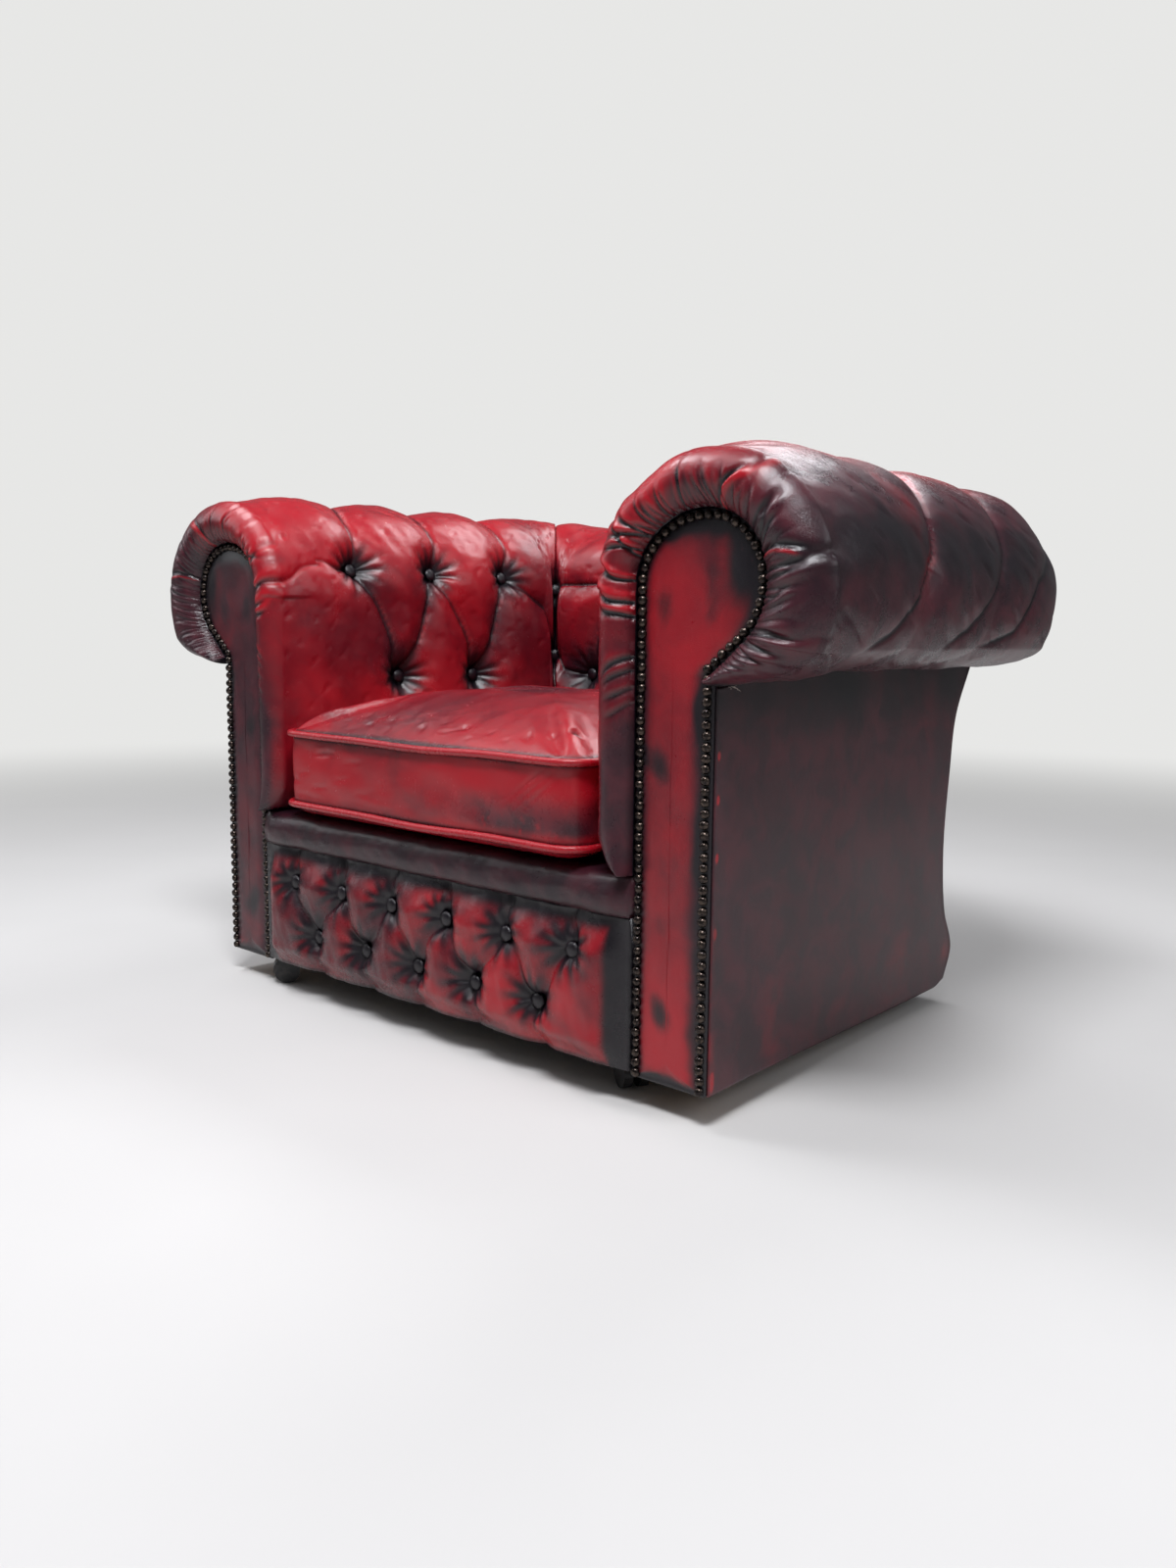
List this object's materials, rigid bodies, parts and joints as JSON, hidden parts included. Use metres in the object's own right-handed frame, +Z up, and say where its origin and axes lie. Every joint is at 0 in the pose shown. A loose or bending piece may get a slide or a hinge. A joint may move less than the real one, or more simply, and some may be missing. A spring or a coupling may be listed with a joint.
{
  "type": "club chair",
  "caption": "Low-back rolled-arm club chair with button-tufted arms, back and front rail, loose seat cushion, nailed arm fronts and swivelling castors.",
  "frame": {"origin": "on the floor under the middle of the outline", "axes": "+Z up, the seat faces -Y, +X to the right for someone who looks at its front; left and right in the node names are -X and +X"},
  "size_m": [1.1338, 0.8206, 0.6902],
  "materials": {
    "oxblood_leather": "antiqued, semi-gloss, worn",
    "nail_brass": "dark antique",
    "frame_timber": "bare",
    "webbing": "woven",
    "black_cloth": "matte",
    "castor_plastic": "satin",
    "socket_steel": "plain"
  },
  "bodies": {
    "root": {"arm_facing_left": "oxblood_leather", "arm_facing_right": "oxblood_leather", "arm_top_rail_left": "frame_timber", "arm_top_rail_right": "frame_timber", "back_post_left": "frame_timber", "back_post_right": "frame_timber", "back_rail": "frame_timber", "back_top_rail": "frame_timber", "castor_socket_front_left": "socket_steel", "castor_socket_front_right": "socket_steel", "castor_socket_rear_left": "socket_steel", "castor_socket_rear_right": "socket_steel", "corner_block_front_left": "frame_timber", "corner_block_front_right": "frame_timber", "corner_block_rear_left": "frame_timber", "corner_block_rear_right": "frame_timber", "dust_cover": "black_cloth", "front_rail": "frame_timber", "front_rail_panel": "oxblood_leather", "inner_arm_left": "oxblood_leather", "inner_arm_right": "oxblood_leather", "inner_back": "oxblood_leather", "nail_row_left": "nail_brass", "nail_row_right": "nail_brass", "outside_arm_left": "oxblood_leather", "outside_arm_right": "oxblood_leather", "outside_back": "oxblood_leather", "scroll_board_left": "frame_timber", "scroll_board_right": "frame_timber", "seat_cushion": "oxblood_leather", "seat_deck": "oxblood_leather", "seat_web_1": "webbing", "seat_web_2": "webbing", "seat_web_3": "webbing", "seat_web_4": "webbing", "side_rail_left": "frame_timber", "side_rail_right": "frame_timber"},
    "castor_front_left_swivel": {"castor_housing_front_left": "castor_plastic"},
    "castor_front_left_wheel": {"castor_wheels_front_left": "castor_plastic"},
    "castor_front_right_swivel": {"castor_housing_front_right": "castor_plastic"},
    "castor_front_right_wheel": {"castor_wheels_front_right": "castor_plastic"},
    "castor_rear_left_swivel": {"castor_housing_rear_left": "castor_plastic"},
    "castor_rear_left_wheel": {"castor_wheels_rear_left": "castor_plastic"},
    "castor_rear_right_swivel": {"castor_housing_rear_right": "castor_plastic"},
    "castor_rear_right_wheel": {"castor_wheels_rear_right": "castor_plastic"}
  },
  "joints": [
    {"name": "castor_front_left_turn", "type": "hinge", "parent": "root", "child": "castor_front_left_swivel", "pos_m": [-0.314, -0.3462, 0.04], "axis": [0, 0, 1], "continuous": true},
    {"name": "castor_front_left_roll", "type": "hinge", "parent": "castor_front_left_swivel", "child": "castor_front_left_wheel", "pos_m": [-0.3249, -0.36176, 0.01785], "axis": [-0.8192, 0.5736, 0], "continuous": true},
    {"name": "castor_front_right_turn", "type": "hinge", "parent": "root", "child": "castor_front_right_swivel", "pos_m": [0.314, -0.3462, 0.04], "axis": [0, 0, 1], "continuous": true},
    {"name": "castor_front_right_roll", "type": "hinge", "parent": "castor_front_right_swivel", "child": "castor_front_right_wheel", "pos_m": [0.29755, -0.3367, 0.01785], "axis": [0.5, 0.866, 0], "continuous": true},
    {"name": "castor_rear_left_turn", "type": "hinge", "parent": "root", "child": "castor_rear_left_swivel", "pos_m": [-0.36, 0.116, 0.04], "axis": [0, 0, 1], "continuous": true},
    {"name": "castor_rear_left_roll", "type": "hinge", "parent": "castor_rear_left_swivel", "child": "castor_rear_left_wheel", "pos_m": [-0.3709, 0.13156, 0.01785], "axis": [0.8192, 0.5736, 0], "continuous": true},
    {"name": "castor_rear_right_turn", "type": "hinge", "parent": "root", "child": "castor_rear_right_swivel", "pos_m": [0.36, 0.116, 0.04], "axis": [0, 0, 1], "continuous": true},
    {"name": "castor_rear_right_roll", "type": "hinge", "parent": "castor_rear_right_swivel", "child": "castor_rear_right_wheel", "pos_m": [0.34129, 0.1193, 0.01785], "axis": [0.1736, 0.9848, 0], "continuous": true}
  ]
}
